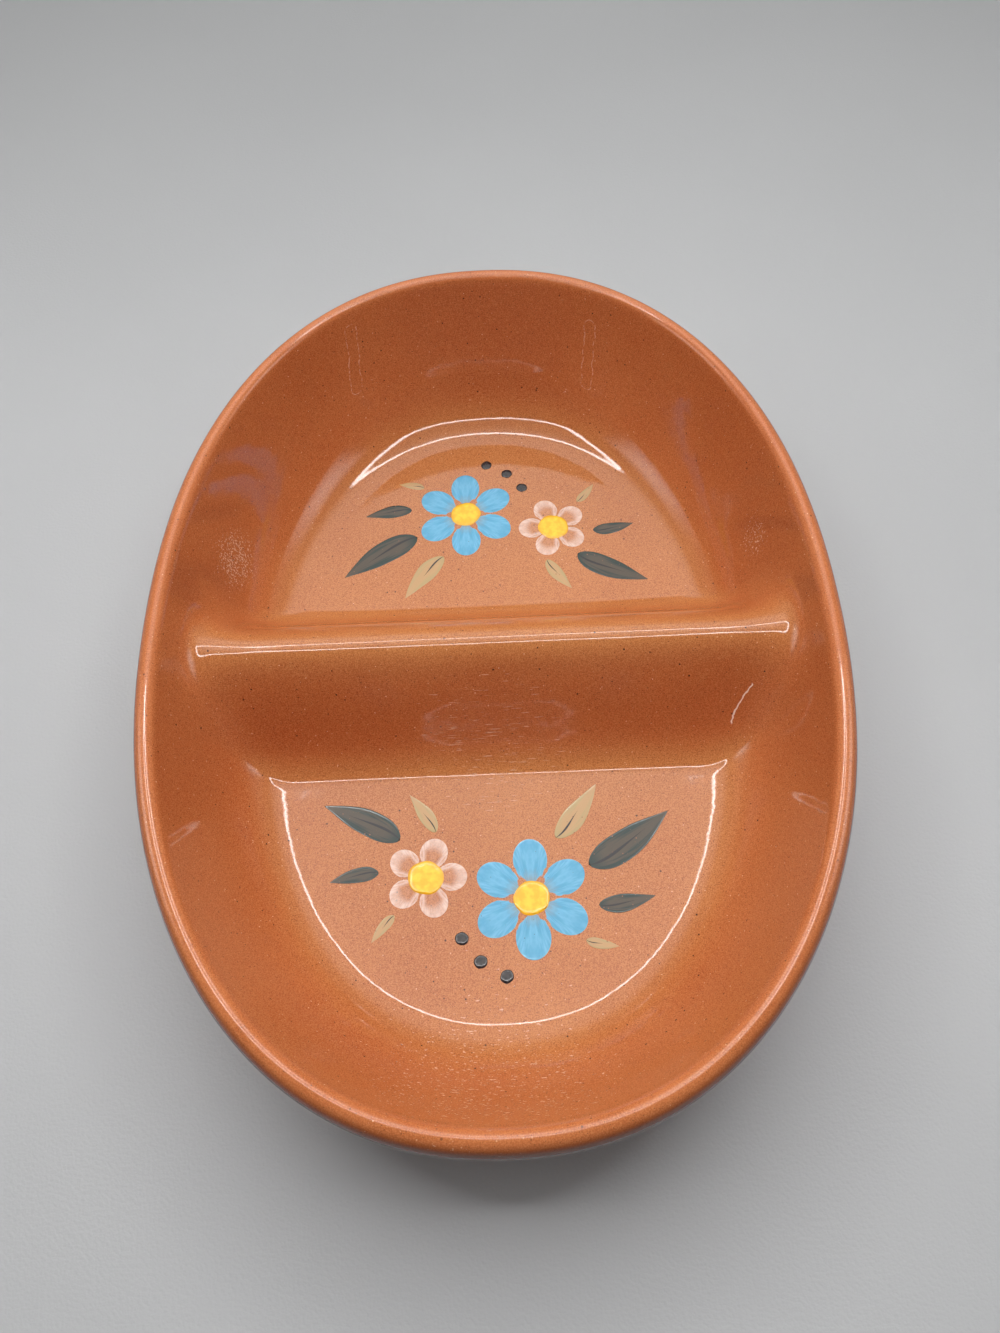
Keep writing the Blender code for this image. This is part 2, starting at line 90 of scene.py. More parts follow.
def rounded_max(a, b, fillet):
    """The higher of two heights, plus (fillet - difference)^2 / 4 fillet where they are near."""
    near = np.clip(fillet - np.abs(a - b), 0, None)
    return np.maximum(a, b) + near**2 / (4 * fillet)


def divided_height(basin, y):
    """Basin and divider melted together. The divider is a hyperbola across y, and the fillet
    between the two swells half-way up the walls as a squared sine."""
    ridge = CREST_LEVEL + CREST_BEND - np.sqrt((FLANK_SLOPE * y) ** 2 + CREST_BEND**2)
    top = (LIP_LEVEL + CREST_LEVEL) / 2
    share = np.clip(((basin + ridge) / 2 - FLOOR_LEVEL) / (top - FLOOR_LEVEL), 0, 1)
    return rounded_max(basin, ridge, FILLET + CORNER_FILLET * np.sin(math.pi * share) ** 2)


def spokes():
    """Spokes out of the bowl's middle line: level ones across the divider, and half a fan at each
    end."""
    y = np.linspace(-BAND_Y, BAND_Y, BAND_STEPS + 1)
    turn = np.linspace(0, math.pi, FAN_STEPS + 1)[1:-1]
    end = np.full(turn.shape, BAND_Y)
    core_y = np.concatenate([y, end, y[::-1], -end])
    return core_y, np.concatenate([0 * y, turn, 0 * y + math.pi, turn + math.pi])


CORE_Y, ANGLE = spokes()
WALL_WAY = np.linspace(0, 1, 201)
LIP_EDGE = np.interp(HEIGHT - LIP_DROP, FLOOR_LEVEL + WALL_RISE * wall_curve(WALL_WAY)[1], WALL_WAY)
FLOOR_REACH = oval_reach(CORE_Y, ANGLE, FLOOR_WIDTH, FLOOR_LENGTH)
LIP_REACH = oval_reach(CORE_Y, ANGLE, WIDTH - 2 * LIP_WIDTH, LENGTH - 2 * LIP_WIDTH)


def on_spokes(reach, z):
    """Points at a reach along each spoke, at a height."""
    x, y = reach * np.cos(ANGLE), CORE_Y + reach * np.sin(ANGLE)
    return np.stack(np.broadcast_arrays(x, y, z), axis=-1)


def soften(rings, row, reach=5, times=8):
    """Averages each ring near a row with its two neighbours, so that two curves meet with no
    crease."""
    near = slice(row - reach, row + reach + 1)
    for _ in range(times):
        before, after = np.roll(rings, 1, 0), np.roll(rings, -1, 0)
        rings[near] = (rings[near] * 2 + before[near] + after[near]) / 4
    return rings


def finished_inside():
    """Out over the floor, up the wall curve, then two quarter ellipses over the lip, a short one up
    to its top and a longer, deeper one down its outer side."""
    share = np.linspace(0, 1, FLOOR_STEPS, endpoint=False)[:, None]
    run, rise = wall_curve(np.linspace(0, 1, WALL_STEPS + 1)[:, None])[:2]
    reach = np.vstack([share * FLOOR_REACH, FLOOR_REACH + run * (LIP_REACH - FLOOR_REACH)])
    basin = FLOOR_LEVEL + WALL_RISE * np.vstack([0 * share, rise])
    inside = on_spokes(reach, divided_height(basin, CORE_Y + reach * np.sin(ANGLE)))
    turn = np.linspace(math.pi, 0, LIP_STEPS + 1)[1:, None]
    half_width = np.where(np.cos(turn) < 0, LIP_TOP, LIP_WIDTH - LIP_TOP)
    fall = np.where(np.cos(turn) < 0, LIP_RISE, LIP_DROP)
    brim_reach = LIP_REACH + LIP_TOP + half_width * np.cos(turn)
    brim = on_spokes(brim_reach, HEIGHT - fall * (1 - np.sin(turn)))
    return soften(np.concatenate([inside, brim]), len(inside) - 1)


def outside(step, depth):
    """The wall curve moved out along its normal by a depth. From EASE_START it eases into the
    lip."""
    span = LIP_REACH - FLOOR_REACH
    run, rise, run_rate, rise_rate = wall_curve(step)
    slant = np.hypot(run_rate * span, rise_rate * WALL_RISE)
    out, down = depth * rise_rate * WALL_RISE / slant, depth * run_rate * span / slant
    ease = np.clip((step - EASE_START) / (LIP_EDGE - EASE_START), 0, 1) ** 2
    reach = FLOOR_REACH + run * span + out
    reach += (LIP_REACH + LIP_WIDTH - OUTSIDE + depth - reach) * ease
    return on_spokes(reach, FLOOR_LEVEL + WALL_RISE * rise - down * (1 - ease))


def facing(rings):
    """Unit normals of a grid, the cross product of its two directions, or straight up at a
    point."""
    normal = np.cross(np.gradient(rings, axis=0), np.roll(rings, -1, 1) - np.roll(rings, 1, 1))
    length = np.linalg.norm(normal, axis=-1, keepdims=True)
    return np.where(length > 1e-12, normal / np.maximum(length, 1e-12), (0, 0, 1))


def sunk(rings, depth):
    """Rings moved into the clay by a depth, along their normals."""
    return rings - depth * facing(rings)


def hollow_height(x, y):
    """The underside: an arch one clay wall inside the divider, sloped at both ends, with rounded
    edges."""
    inset = COAT + CLAY_WALL
    bend = CREST_BEND - inset * (math.sqrt(1 + FLANK_SLOPE**2) - 1)
    arch = CREST_LEVEL - inset + bend - np.sqrt((FLANK_SLOPE * y) ** 2 + bend**2)
    end = UNDERSIDE + HOLLOW_END_SLOPE * (HOLLOW_LENGTH / 2 - np.abs(x))
    return rounded_max(UNDERSIDE, -rounded_max(-arch, -end, HOLLOW_CORNER), HOLLOW_EDGE)


def new_piece(name, rings, uv=None, **shares):
    """One closed skin over rings of points, each ring joined to the next and its last point to its
    first. Points that coincide, as on a middle line or at a tip, are merged. A uv map and named
    shares ride on the points."""
    rows, columns = rings.shape[:2]
    index = np.arange(rows * columns).reshape(rows, columns)
    right = np.roll(index, -1, 1)
    quads = np.stack([index[:-1], index[1:], right[1:], right[:-1]], axis=-1).reshape(-1, 4)
    mesh = bpy.data.meshes.new(name)
    mesh.from_pydata(rings.reshape(-1, 3), [], quads)
    if uv is not None:
        mesh.uv_layers.new(name="stroke").data.foreach_set("uv", uv.reshape(-1, 2)[quads].ravel())
    for share, values in shares.items():
        mesh.attributes.new(share, "FLOAT", "POINT").data.foreach_set("value", values.ravel())
    skin = bmesh.new()
    skin.from_mesh(mesh)
    bmesh.ops.remove_doubles(skin, verts=skin.verts, dist=SAME_POINT)
    bmesh.ops.recalc_face_normals(skin, faces=skin.faces)
    skin.to_mesh(mesh)
    skin.free()
    mesh.shade_smooth()
    piece = bpy.data.objects.new(name, mesh)
    bpy.context.scene.collection.objects.link(piece)
    return piece


class Nodes:
    """A node tree, and short ways to put patterns together in it."""

    def __init__(self, tree):
        self.tree = tree

    def add(self, kind, inputs, **settings):
        node = self.tree.nodes.new("ShaderNode" + kind)
        for setting, value in settings.items():
            setattr(node, setting, value)
        for socket, value in inputs.items():
            self.join(value, node.inputs[socket])
        return node

    def join(self, value, socket):
        if isinstance(value, bpy.types.NodeSocket):
            self.tree.links.new(value, socket)
        else:
            socket.default_value = value

    def maths(self, operation, a, b=0.0):
        return self.add("Math", {0: a, 1: b}, operation=operation).outputs[0]

    def split(self, vector):
        return self.add("SeparateXYZ", {0: vector}).outputs

    def ramp(self, value, low, high, start=0.0, end=1.0):
        """A smooth step from start, at low, to end, at high."""
        inputs = {0: value, 1: low, 2: high, 3: start, 4: end}
        return self.add("MapRange", inputs, interpolation_type="SMOOTHSTEP").outputs[0]


class Finish(Nodes):
    """A Principled material whose patterns read the piece's Object coordinates or its own uv
    map."""

    def __init__(self, name, **sockets):
        self.material = bpy.data.materials.new(name)
        self.material.use_nodes = True
        super().__init__(self.material.node_tree)
        self.shader = self.tree.nodes["Principled BSDF"]
        for socket, value in sockets.items():
            self.shader.inputs[socket].default_value = value
        where = self.tree.nodes.new("ShaderNodeTexCoord")
        self.place, self.uv = where.outputs["Object"], where.outputs["UV"]

    def noise(self, scale, detail=2.0, stretch=(1, 1, 1), place=None, offset=(0, 0, 0)):
        """Noise with so many features to the metre, stretched along the axes where the factor is
        small."""
        at = self.add("Mapping", {0: place or self.place, 1: offset, 3: stretch}).outputs[0]
        return self.add("TexNoise", {"Vector": at, "Scale": scale, "Detail": detail}).outputs["Fac"]

    def specks(self, scale, size, offset=(0, 0, 0)):
        """Round specks in Voronoi cells, so many to the metre, each of its own radius: 1 in a
        speck."""
        at = self.add("Mapping", {0: self.place, 1: offset}).outputs[0]
        cell = self.add("TexVoronoi", {"Vector": at, "Scale": scale})
        radius = self.maths("MULTIPLY", self.split(cell.outputs["Color"])[0], size)
        return self.ramp(cell.outputs["Distance"], radius, self.maths("MULTIPLY", radius, 0.6))

    def blend(self, share, a, b):
        """Colour a where the share is 0, colour b where it is 1."""
        a, b = [(*c, 1) if isinstance(c, tuple) else c for c in (a, b)]
        return self.add("Mix", {0: share, 6: a, 7: b}, data_type="RGBA").outputs[2]

    def bump(self, height, depth, under=None):
        """A bump of a height pattern, so many metres deep, on top of another bump if given."""
        inputs = {"Height": height, "Distance": depth, "Strength": 1.0}
        if under:
            inputs["Normal"] = under
        return self.add("Bump", inputs).outputs[0]

    def finish(self, colour, roughness, normal):
        for socket, value in (("Base Color", colour), ("Roughness", roughness), ("Normal", normal)):
            self.join(value, self.shader.inputs[socket])
        return self.material


def dress(piece, material, slot, *nodes):
    """The piece takes a material, stands for CAD nodes and rides on the bowl's one body."""
    piece.data.materials.clear()
    piece.data.materials.append(material)
    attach(piece, "root")
    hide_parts(*nodes)


CLAY_DEEP, CLAY_PALE = (0.40, 0.125, 0.045), (0.50, 0.18, 0.07)
GRIT_COLOUR, IRON_SPECK = (0.30, 0.085, 0.03), (0.14, 0.05, 0.025)
GRIT_FINENESS, GRIT_DEPTH = 1500, 0.00012
clay = Finish("bare_red_clay")
patches = clay.ramp(clay.noise(28, 4), 0.35, 0.7)
grit = clay.noise(GRIT_FINENESS, 3)
clay_colour = clay.blend(patches, CLAY_DEEP, CLAY_PALE)
clay_colour = clay.blend(clay.ramp(grit, 0.35, 0.65, 0.0, 0.5), clay_colour, GRIT_COLOUR)
clay_colour = clay.blend(clay.specks(420, 0.30), clay_colour, IRON_SPECK)
pits = clay.specks(300, 0.22, (3, 1, 2))
clay_bump = clay.bump(clay.maths("SUBTRACT", grit, pits), GRIT_DEPTH)
bare_clay = clay.finish(clay_colour, clay.ramp(patches, 0, 1, 0.72, 0.88), clay_bump)

over = sunk(finished_inside(), COAT)
down = np.linspace(LIP_EDGE, 0, 2 * OUTSIDE_STEPS)[1:, None]
skirt = outside(down, COAT + CLAY_WALL)
back = np.linspace(1, 0, 2 * FLOOR_STEPS)[1:, None] * FLOOR_REACH
under = on_spokes(back, hollow_height(back * np.cos(ANGLE), CORE_Y + back * np.sin(ANGLE)))
body = soften(np.concatenate([over, skirt, under]), len(over) - 1)
dress(new_piece("clay_body", body), bare_clay, "red_clay", "dish_shell", "divider")

# Foot ring
# The low oval foot that the bowl stands on, the same bare clay, smoothed into the underside with a
# wet finger and worn paler where it rubs on the table.
FOOT_INSET, FOOT_WIDTH, FOOT_FLARE = 0.0025, 0.0065, 0.0016
FOOT_ROUNDNESS, FOOT_SECTION, FOOT_TURN = 5.0, 40, 320
FOOT_SEAT, WORN_TOP, WORN_THROUGH = 0.0003, 0.0016, 0.0002
FOOT_PALE, FOOT_WORN = (0.49, 0.175, 0.068), (0.58, 0.30, 0.17)


def foot_rings():
    """A superellipse section, flared at the top by the sixth power of the height, carried along
    the floor's oval."""
    turn = np.linspace(0, 2 * math.pi, FOOT_SECTION + 1)[:, None]
    across = np.sign(np.cos(turn)) * np.abs(np.cos(turn)) ** (2 / FOOT_ROUNDNESS)
    up = (1 + np.sign(np.sin(turn)) * np.abs(np.sin(turn)) ** (2 / FOOT_ROUNDNESS)) / 2
    inset = FOOT_INSET + FOOT_WIDTH / 2 - across * (FOOT_WIDTH / 2 + FOOT_FLARE * up**6)
    angle = np.linspace(0, 2 * math.pi, FOOT_TURN, endpoint=False)[None, :]
    reach = oval_reach(0.0, angle + 0 * inset, FLOOR_WIDTH - 2 * inset, FLOOR_LENGTH - 2 * inset)
    z = up * (UNDERSIDE + FOOT_SEAT) + 0 * angle
    return np.stack([reach * np.cos(angle), reach * np.sin(angle), z], axis=-1)


rim = Finish("foot_clay")
grit = rim.noise(GRIT_FINENESS, 3)
foot_colour = rim.blend(rim.ramp(rim.noise(40, 4), 0.35, 0.7), CLAY_DEEP, FOOT_PALE)
worn = rim.ramp(rim.split(rim.place)[2], WORN_TOP, WORN_THROUGH)
worn = rim.maths("MULTIPLY", worn, rim.ramp(rim.noise(180, 3), 0.3, 0.6))
foot_colour = rim.blend(rim.ramp(grit, 0.35, 0.65, 0.0, 0.5), foot_colour, GRIT_COLOUR)
foot_colour = rim.blend(worn, foot_colour, FOOT_WORN)
foot_clay = rim.finish(foot_colour, rim.ramp(worn, 0, 1, 0.8, 0.6), rim.bump(grit, GRIT_DEPTH))
dress(new_piece("foot", foot_rings()), foot_clay, "red_clay", "foot_ring")

# Glaze
# One coat of clear gloss glaze, poured in and dipped, over the inside, the divider and the lip and
# down the outside to an uneven line. The speckled clay shows through, paler on the lip's top where
# it runs thin, with a painted sheen there too. Light and shade are painted into its colour: paler
# on level faces, darker and redder on steep ones, and darker again down the lip's outer side.
LINE_STEP, LINE_WAVE, LINE_FADE, LINE_THINNING = 0.29, 0.016, 0.92, 0.9
LEVEL_FADE = 0.005


def glaze_line():
    """The step of the wall curve where the glaze stops: a mean, and three waves around the bowl."""
    around = np.arctan2(CORE_Y + FLOOR_REACH * np.sin(ANGLE), FLOOR_REACH * np.cos(ANGLE))
    waves = np.sin(3 * around + 0.4) + 0.6 * np.sin(7 * around + 2.0) + 0.4 * np.sin(13 * around)
    return LINE_STEP + LINE_WAVE * waves / 2


def glaze_rings():
    """The finished inside, lip and outside, thinned out at the glaze line, then back one glaze
    below. With it come two shares: from 0 on top of the lip to 1 outside, and how level each point
    lies."""
    inside = finished_inside()
    way = np.linspace(0, 1, OUTSIDE_STEPS + 1)[1:, None]
    step = LIP_EDGE + (glaze_line() - LIP_EDGE) * way
    thin = GLAZE * LINE_THINNING * np.clip((way - LINE_FADE) / (1 - LINE_FADE), 0, 1) ** 2
    face = soften(np.concatenate([inside, outside(step, OUTSIDE - thin)]), len(inside) - 1)
    back = np.concatenate([sunk(inside, GLAZE), outside(step, OUTSIDE - GLAZE)])
    back = soften(back, len(inside) - 1)
    rows = np.arange(len(face))[:, None] - len(inside) + LIP_STEPS / 2
    outer = np.clip(rows / (LIP_STEPS / 2), 0, 1) + 0 * face[:, :, 0]
    below_lip = np.clip((LIP_LEVEL - face[:, :, 2]) / LEVEL_FADE, 0, 1)
    level = np.clip(facing(face)[:, :, 2], 0, 1) * below_lip
    kept = np.unique(np.append(np.arange(0, len(back), 2), len(back) - 1))[::-1]
    fronts, backs = (face, outer, level), (back, outer, level)
    return [np.concatenate([front, behind[kept]]) for front, behind in zip(fronts, backs)]


# Painted light and shade: the level colour is paler and yellower, as lit faces look, and the steep
# colour darker and redder, as shaded faces look.
LIT_LEVEL_CLAY = ((0.497, 0.172, 0.052), (0.552, 0.209, 0.066))
SHADED_STEEP_CLAY = ((0.492, 0.129, 0.037), (0.548, 0.164, 0.052))
PALE_GRAIN, DARK_GRAIN = (0.68, 0.31, 0.13), (0.27, 0.064, 0.020)
BROWN_SPECK, BLACK_SPECK = (0.17, 0.045, 0.018), (0.08, 0.028, 0.014)
PALE_SPECK = (0.80, 0.48, 0.28)


def clay_under_glaze(finish, level=None):
    """Orange-brown clay seen through clear glaze: clouds a hand wide, a grain of a third of a
    millimetre, many fine dark specks, a few black ones and a few pale ones. Given a level share,
    light and shade are painted in: paler and yellower on level faces, as lit, and darker and
    redder on steep ones, as shaded."""
    clouds, grain = finish.ramp(finish.noise(16, 4), 0.3, 0.7), finish.noise(2700, 2)
    colour = finish.blend(clouds, *LIT_LEVEL_CLAY)
    if level:
        steep = finish.blend(clouds, *SHADED_STEEP_CLAY)
        colour = finish.blend(finish.ramp(level, 0.5, 0.95), steep, colour)
    colour = finish.blend(finish.ramp(grain, 0.46, 0.68, 0.0, 0.4), colour, PALE_GRAIN)
    colour = finish.blend(finish.ramp(grain, 0.54, 0.34, 0.0, 0.45), colour, DARK_GRAIN)
    colour = finish.blend(finish.specks(1500, 0.30), colour, BROWN_SPECK)
    colour = finish.blend(finish.specks(330, 0.14, (5, 2, 8)), colour, BLACK_SPECK)
    return finish.blend(finish.specks(480, 0.13, (1, 7, 3)), colour, PALE_SPECK)


RIPPLE_DEPTH, PEEL_DEPTH = 0.00012, 0.00002


def glaze_bump(finish):
    """The slow ripple of poured glaze, and a finer orange peel."""
    peel = finish.bump(finish.noise(330, 2), PEEL_DEPTH)
    return finish.bump(finish.noise(45, 2), RIPPLE_DEPTH, peel)


def between(finish, value, low, high, soft):
    """1 between two values, with soft steps outside them."""
    rise, fall = finish.ramp(value, low - soft, low), finish.ramp(value, high + soft, high)
    return finish.maths("MULTIPLY", rise, fall)


# Each run: its x, the height of its middle, and half its length.
RUNS = ((-0.0498, 0.048, 0.0110), (0.0405, 0.042, 0.0112))
RUN_LEAN, RUN_SWAY = 0.0008, 0.0003
RUN_INNER, RUN_OUTER, LINE_SOFTNESS = 0.00185, 0.00195, 0.00018
RUN_WALL = (0.09, 0.10)


def glaze_run(finish, x, y, z, run_x, run_z, half_length):
    """The outline of a long drip down the rear wall: a fixed distance from a short upright line."""
    away = finish.maths("ABSOLUTE", finish.maths("SUBTRACT", z, run_z))
    past = finish.maths("MAXIMUM", finish.maths("SUBTRACT", away, half_length), 0.0)
    lean = finish.ramp(z, run_z - half_length, run_z + half_length, run_x, run_x + RUN_LEAN)
    sway = finish.ramp(finish.noise(300, 2), 0.3, 0.7, -RUN_SWAY, RUN_SWAY)
    aside = finish.maths("ADD", finish.maths("SUBTRACT", x, lean), sway)
    squares = [finish.maths("POWER", length, 2.0) for length in (past, aside)]
    gap = finish.maths("SQRT", finish.maths("ADD", *squares))
    line = between(finish, gap, RUN_INNER, RUN_OUTER, LINE_SOFTNESS)
    line = finish.maths("MULTIPLY", line, finish.ramp(finish.noise(900, 2), 0.40, 0.55))
    return finish.maths("MULTIPLY", line, finish.ramp(y, *RUN_WALL))


CRACK_X, CRACK_Y, CRACK_Z = (0.07845, 0.07875), (-0.030, -0.010), (0.0224, 0.0352)
CRACK_BOW, CRACK_LEAN, CRACK_SWAY = 0.00287, 0.00263, 0.0002
CRACK_END, CRACK_DEPTH = 0.0008, 0.002


def hairline(finish, x, y, z):
    """A fine crack on the right of the divider's front. Its x is a quadratic of the height above
    its foot."""
    up = finish.add("MapRange", {0: z, 1: CRACK_Z[0], 2: CRACK_Z[1]}).outputs[0]
    bow = finish.maths("ADD", finish.maths("MULTIPLY", up, CRACK_BOW), CRACK_LEAN)
    sway = finish.ramp(finish.noise(500, 2), 0.3, 0.7, -CRACK_SWAY, CRACK_SWAY)
    course = finish.maths("ADD", finish.maths("MULTIPLY", up, bow), sway)
    line = between(finish, finish.maths("SUBTRACT", x, course), *CRACK_X, LINE_SOFTNESS)
    line = finish.maths("MULTIPLY", line, between(finish, z, *CRACK_Z, CRACK_END))
    return finish.maths("MULTIPLY", line, between(finish, y, *CRACK_Y, CRACK_DEPTH))


# Each rub: its middle, its radius, the stretch of its scratches along the axes, and the noise level
# above which they show, so that a lower one is denser.
RUBS = (
    ((-0.090, 0.043, 0.036), 0.021, (1, 0.6, 0.3), 0.53),
    ((0.093, 0.040, 0.040), 0.015, (1, 0.6, 0.3), 0.59),
    ((-0.005, -0.131, 0.034), 0.075, (0.22, 0.5, 0.8), 0.63),
    ((0.0, -0.024, 0.019), 0.055, (0.06, 1, 1), 0.64),
    ((0.032, 0.1245, 0.0263), 0.004, (0.25, 0.6, 0.5), 0.62),
)


def rubbed(finish, middle, radius, stretch, threshold):
    """Fine pale scratches, dense at the middle of a rub and gone at its edge."""
    away = finish.add("VectorMath", {0: finish.place, 1: middle}, operation="DISTANCE")
    scratches = finish.noise(2900, 2, stretch, offset=middle)
    edge = finish.ramp(away.outputs["Value"], radius * 0.2, radius, threshold, 0.85)
    return finish.ramp(scratches, edge, finish.maths("ADD", edge, 0.05))


GLAZE_IOR, SCRATCH_DEPTH = 1.52, 0.00004
# The dark lip-edge colour below is painted shade, and the pale lip-top colour is partly a painted
# sheen.
THIN_GLAZE_AND_SHEEN, PAINTED_SHADE_LIP = (0.64, 0.21, 0.075), (0.18, 0.032, 0.011)
WORN_GLAZE, CRACK_COLOUR = (0.84, 0.55, 0.38), (0.92, 0.76, 0.64)
THIN_AND_SHEEN_HEIGHTS, PAINTED_SHADE_HEIGHTS = (0.0640, 0.0668), (0.045, 0.062)
glaze = Finish("clear_glaze_on_red_clay", IOR=GLAZE_IOR)
x, y, z = glaze.split(glaze.place)
shares = [glaze.add("Attribute", {}, attribute_name=share) for share in ("outer", "level")]
outer, level = [share.outputs["Fac"] for share in shares]
glaze_colour = clay_under_glaze(glaze, level)
# Paler on the lip's top: partly glaze running thin, partly a painted sheen.
thin_lip_and_sheen = glaze.ramp(glaze.noise(60, 3), 0.3, 0.7, 0.15, 0.38)
thin_lip_and_sheen = glaze.maths("MULTIPLY", thin_lip_and_sheen, glaze.ramp(z, *THIN_AND_SHEEN_HEIGHTS))
glaze_colour = glaze.blend(thin_lip_and_sheen, glaze_colour, THIN_GLAZE_AND_SHEEN)
# Painted shade: darker red down the lip's outer side, and about a third as much on the outside wall
# below it, as where they turn away from the light.
painted_lip_shade = glaze.ramp(outer, 0.05, 0.60, 0.0, 0.9)
painted_lip_shade = glaze.maths("MULTIPLY", painted_lip_shade, glaze.ramp(z, *PAINTED_SHADE_HEIGHTS, 0.35, 1.0))
glaze_colour = glaze.blend(painted_lip_shade, glaze_colour, PAINTED_SHADE_LIP)
runs = [glaze_run(glaze, x, y, z, *run) for run in RUNS]
hair = hairline(glaze, x, y, z)
rubs = [rubbed(glaze, *rub) for rub in RUBS]
wear = glaze.maths("MULTIPLY", glaze.maths("MAXIMUM", *runs), 0.8)
for mark in (hair, *rubs):
    wear = glaze.maths("MAXIMUM", wear, mark)
wear = glaze.maths("MULTIPLY", wear, glaze.ramp(outer, 0.6, 0.2))
glaze_colour = glaze.blend(glaze.maths("MULTIPLY", wear, 0.65), glaze_colour, WORN_GLAZE)
glaze_colour = glaze.blend(hair, glaze_colour, CRACK_COLOUR)
dulled = glaze.maths("MULTIPLY", wear, 0.25)
glaze_gloss = glaze.maths("ADD", glaze.ramp(glaze.noise(70, 4), 0.3, 0.7, 0.03, 0.07), dulled)
scratch_bump = glaze.bump(wear, SCRATCH_DEPTH, glaze_bump(glaze))
glazed_clay = glaze.finish(glaze_colour, glaze_gloss, scratch_bump)
rings, outer, level = glaze_rings()
dress(new_piece("glaze", rings, outer=outer, level=level), glazed_clay, "clear_glaze", "glaze_coat")

# Blue blossoms
# One on each floor: six petals in glossy sky-blue enamel, each pressed down with a loaded brush and
# drawn towards the middle, where the paint runs thin and the clay shows through.
PAINT, PAINT_SUNK = 0.00010, 0.00008
BLOSSOM_RADIUS, BLOSSOM_PETALS, PETAL_WAIST = 0.0194, 6, 0.42
DISC_RINGS, PETAL_POINTS = 14, 26
MIDDLE = (BAND_Y + FLOOR_LENGTH / 2) / 2
BLUE_AT = np.array([-0.0094, 0.0040])
SIDES = {"rear": 1, "front": -1}


def ring_of(angle):
    """Unit vectors at an angle, or at each of several."""
    return np.stack([np.cos(angle), np.sin(angle)], axis=-1)


def on_floor(points, z, side):
    """Points from the middle of the rear floor, or turned half round on to the front one."""
    flat = SIDES[side] * (points + (0, MIDDLE))
    return np.concatenate([flat, FLOOR_LEVEL + z[..., None]], axis=-1)


def disc_shares():
    """Shares of a disc's radius from its middle to its edge and back below, and 1 above or 0
    below."""
    share = np.sin(np.linspace(0, math.pi / 2, DISC_RINGS))
    above = np.repeat([1.0, 0.0], DISC_RINGS)
    return np.concatenate([share, share[::-1]])[:, None], above[:, None]


def blossom_rings(at, radius, petals, side):
    """A rosette whose reach swells with the 0.6th power of a sine. The paint is thick along each
    petal and falls off with the eighth power of the radius at its edge."""
    angle = np.linspace(0, 2 * math.pi, PETAL_POINTS * petals, endpoint=False)
    lobe = np.abs(np.sin(petals * angle / 2))
    share, above = disc_shares()
    reach = radius * share * (PETAL_WAIST + (1 - PETAL_WAIST) * lobe**0.6)
    thick = PAINT * np.sqrt(1 - share**8) * (0.3 + 0.7 * lobe**0.5)
    z = np.where(above > 0, thick, -PAINT_SUNK)
    rings = on_floor(at + reach[..., None] * ring_of(angle), z, side)
    return rings, np.stack(np.broadcast_arrays(share, lobe), axis=-1)


def enamel(name):
    """A gloss enamel, its shares along and across a stroke, and the bump of the glaze under it."""
    paint = Finish(name, IOR=GLAZE_IOR)
    along, across, _ = paint.split(paint.uv)
    return paint, along, across, glaze_bump(paint)


def brush_stroke(paint, along, across):
    """1 within each petal's own stroke and 0 on the bare clay between petals: the stroke is narrow
    at the eye and reaches its full width at three quarters of its length."""
    bare = paint.ramp(along, 0.15, 0.75, 0.80, 0.10)
    uneven = paint.maths("ADD", across, paint.ramp(paint.noise(500, 2), 0.3, 0.7, -0.05, 0.05))
    return paint.ramp(uneven, bare, paint.maths("ADD", bare, 0.07))


BLUE_DEEP, BLUE_PALE = (0.085, 0.37, 0.60), (0.16, 0.50, 0.74)
BLUE_THIN, BLUE_SPECK = (0.30, 0.27, 0.23), (0.06, 0.10, 0.13)
blue, along, across, normal = enamel("blue_enamel")
streak = blue.noise(1, 4, (3, 9, 1), blue.uv)
blue_colour = blue.blend(blue.ramp(streak, 0.35, 0.7), BLUE_DEEP, BLUE_PALE)
thin = blue.ramp(blue.maths("ADD", along, blue.maths("MULTIPLY", streak, 0.35)), 0.70, 0.42)
blue_colour = blue.blend(blue.maths("MULTIPLY", thin, 0.6), blue_colour, BLUE_THIN)
blue_colour = blue.blend(blue.specks(600, 0.12), blue_colour, BLUE_SPECK)
stroke = brush_stroke(blue, along, across)
blue_colour = blue.blend(stroke, clay_under_glaze(blue), blue_colour)
blue_enamel = blue.finish(blue_colour, blue.ramp(streak, 0.3, 0.7, 0.06, 0.12), normal)
for side in SIDES:
    rings, uv = blossom_rings(BLUE_AT, BLOSSOM_RADIUS, BLOSSOM_PETALS, side)
    petals = new_piece(f"{side}_blue_petals", rings, uv)
    dress(petals, blue_enamel, "blue_enamel", f"{side}_blossom")

# White blossoms
# A smaller one beside each blue one: five petals in a thin wash of white enamel, drawn with the
# brush like the blue ones. The white gathers along their edges, and the clay shows through it.
WHITE_RADIUS, WHITE_PETALS, STROKE_GAP, WHITE_TURN = 0.0134, 5, 0.0020, math.radians(-13)
WHITE_AT = BLUE_AT + (BLOSSOM_RADIUS + WHITE_RADIUS + STROKE_GAP) * ring_of(WHITE_TURN)
WHITE_PAINT = (0.86, 0.70, 0.62)
white, along, across, normal = enamel("white_enamel")
streak = white.noise(1, 4, (3, 9, 1), white.uv)
sides = white.ramp(across, 0.85, 0.45, 0.0, 0.8)
edge = white.maths("MAXIMUM", white.ramp(along, 0.62, 0.95), sides)
uneven = white.ramp(streak, 0.25, 0.65, 0.30, 0.75)
wash = white.maths("MULTIPLY", white.maths("ADD", edge, 0.12), uneven)
wash = white.maths("MULTIPLY", wash, white.ramp(along, 0.25, 0.55))
wash = white.maths("MULTIPLY", wash, brush_stroke(white, along, across))
white_colour = white.blend(wash, clay_under_glaze(white), WHITE_PAINT)
